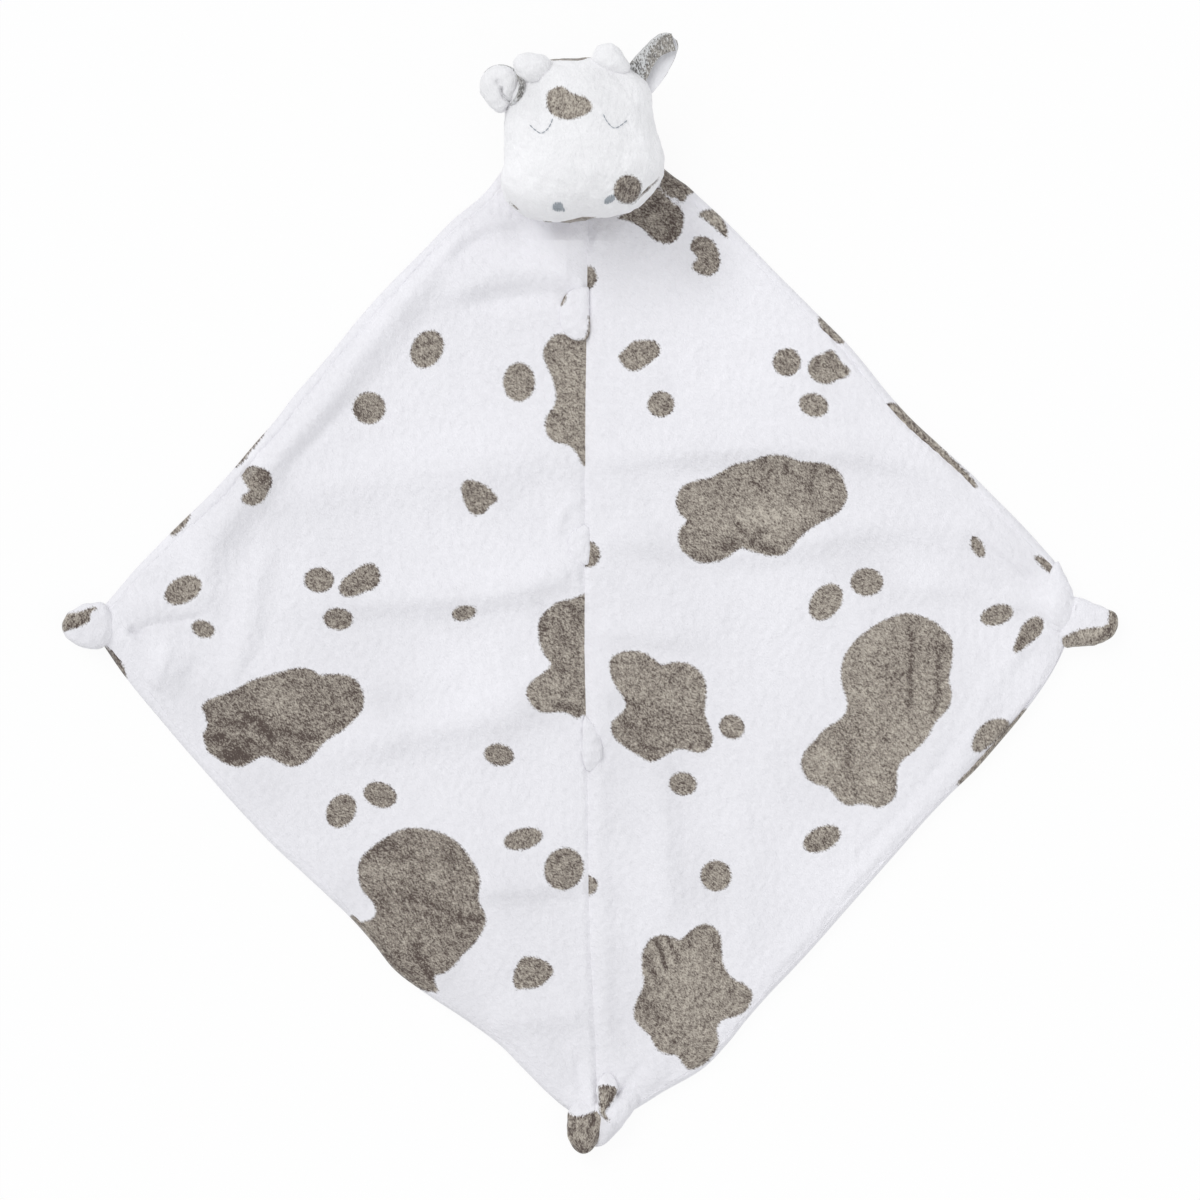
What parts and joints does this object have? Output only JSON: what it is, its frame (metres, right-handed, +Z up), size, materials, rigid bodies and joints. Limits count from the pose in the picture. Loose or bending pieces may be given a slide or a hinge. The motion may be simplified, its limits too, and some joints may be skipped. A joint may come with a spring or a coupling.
{
  "type": "comfort blanket",
  "caption": "Soft toy comfort blanket: a spotted plush square with tied corners and a small stuffed cow head sewn on at one corner.",
  "frame": {"origin": "on the underside of the back cloth, on the line of the centre seam, near the middle of the blanket", "axes": "+Z up through the cloth towards the side with the face, +Y along the centre seam towards the head, +X to the right of someone who looks down at the face"},
  "size_m": [0.5038, 0.5337, 0.0564],
  "materials": {
    "white_plush": "matte",
    "grey_plush": "matte",
    "grey_thread": "satin",
    "white_thread": "satin",
    "fibre_fill": "matte"
  },
  "bodies": {
    "blanket": {"back_cloth_middle": "white_plush", "front_cloth_left_middle": "white_plush", "front_cloth_right_middle": "white_plush", "seam_allowance_middle": "white_plush"},
    "left_corner": {"back_cloth_left": "white_plush", "front_cloth_left_corner": "white_plush", "knot_left": "white_plush"},
    "right_corner": {"back_cloth_right": "white_plush", "front_cloth_right_corner": "white_plush", "knot_right": "white_plush"},
    "bottom_corner": {"back_cloth_bottom": "white_plush", "front_cloth_left_bottom": "white_plush", "front_cloth_right_bottom": "white_plush", "seam_allowance_bottom": "white_plush", "knot_bottom": "white_plush"},
    "top_corner": {"back_cloth_top": "white_plush", "front_cloth_left_top": "white_plush", "front_cloth_right_top": "white_plush", "seam_allowance_top": "white_plush", "neck_stitch_ring": "white_thread"},
    "head": {"head_face_panel": "white_plush", "head_back_panel": "white_plush", "head_stuffing": "fibre_fill", "horn_left": "white_plush", "horn_right": "white_plush", "eye_stitch_left": "grey_thread", "eye_stitch_right": "grey_thread", "nostril_left": "grey_thread", "nostril_right": "grey_thread"},
    "left_ear": {"ear_left_outer": "grey_plush", "ear_left_inner": "white_plush"},
    "right_ear": {"ear_right_outer": "grey_plush", "ear_right_inner": "white_plush"},
    "left_tail": {"tail_left": "white_plush"},
    "right_tail": {"tail_right": "white_plush"},
    "bottom_tail": {"tail_bottom": "white_plush"},
    "upper_tuft": {"tuft_upper": "white_plush"},
    "middle_tuft": {"tuft_middle": "white_plush"},
    "lower_tuft": {"tuft_lower": "white_plush"}
  },
  "joints": [
    {"name": "left_corner_fold", "type": "hinge", "parent": "blanket", "child": "left_corner", "pos_m": [-0.136, 0, 0.0065], "axis": [0, 1, 0], "range_deg": [0, 160]},
    {"name": "right_corner_fold", "type": "hinge", "parent": "blanket", "child": "right_corner", "pos_m": [0.136, 0, 0.0065], "axis": [0, -1, 0], "range_deg": [0, 160]},
    {"name": "bottom_corner_fold", "type": "hinge", "parent": "blanket", "child": "bottom_corner", "pos_m": [0, -0.1395, 0.0065], "axis": [-1, 0, 0], "range_deg": [0, 160]},
    {"name": "neck_fold", "type": "hinge", "parent": "blanket", "child": "top_corner", "pos_m": [0, 0.172, 0.0065], "axis": [1, 0, 0], "range_deg": [0, 70]},
    {"name": "head_turn", "type": "hinge", "parent": "top_corner", "child": "head", "pos_m": [-0.0024, 0.2154, 0.0281], "axis": [0, 0, 1], "range_deg": [-30, 30]},
    {"name": "left_ear_flap", "type": "hinge", "parent": "head", "child": "left_ear", "pos_m": [-0.03641, 0.23749, 0.0342], "axis": [0.5446, 0.8387, 0], "range_deg": [0, 60]},
    {"name": "right_ear_flap", "type": "hinge", "parent": "head", "child": "right_ear", "pos_m": [0.02554, 0.24478, 0.03345], "axis": [0.8572, -0.515, 0], "range_deg": [0, 70]},
    {"name": "left_tail_flop", "type": "hinge", "parent": "left_corner", "child": "left_tail", "pos_m": [-0.24127, -0.01714, 0.0121], "axis": [-0.05, 0.9988, 0], "range_deg": [0, 60]},
    {"name": "right_tail_flop", "type": "hinge", "parent": "right_corner", "child": "right_tail", "pos_m": [0.23392, -0.00968, 0.0121], "axis": [-0.1494, -0.9888, 0], "range_deg": [0, 60]},
    {"name": "bottom_tail_flop", "type": "hinge", "parent": "bottom_corner", "child": "bottom_tail", "pos_m": [0.00323, -0.25102, 0.0121], "axis": [-0.9689, 0.2474, 0], "range_deg": [0, 60]},
    {"name": "upper_tuft_flip", "type": "hinge", "parent": "blanket", "child": "upper_tuft", "pos_m": [0, 0.1325, 0.0088], "axis": [0, 1, 0], "range_deg": [0, 150]},
    {"name": "middle_tuft_flip", "type": "hinge", "parent": "blanket", "child": "middle_tuft", "pos_m": [0, 0.0225, 0.0088], "axis": [0, 1, 0], "range_deg": [0, 150]},
    {"name": "lower_tuft_flip", "type": "hinge", "parent": "blanket", "child": "lower_tuft", "pos_m": [0, -0.073, 0.0088], "axis": [0, -1, 0], "range_deg": [0, 150]}
  ]
}
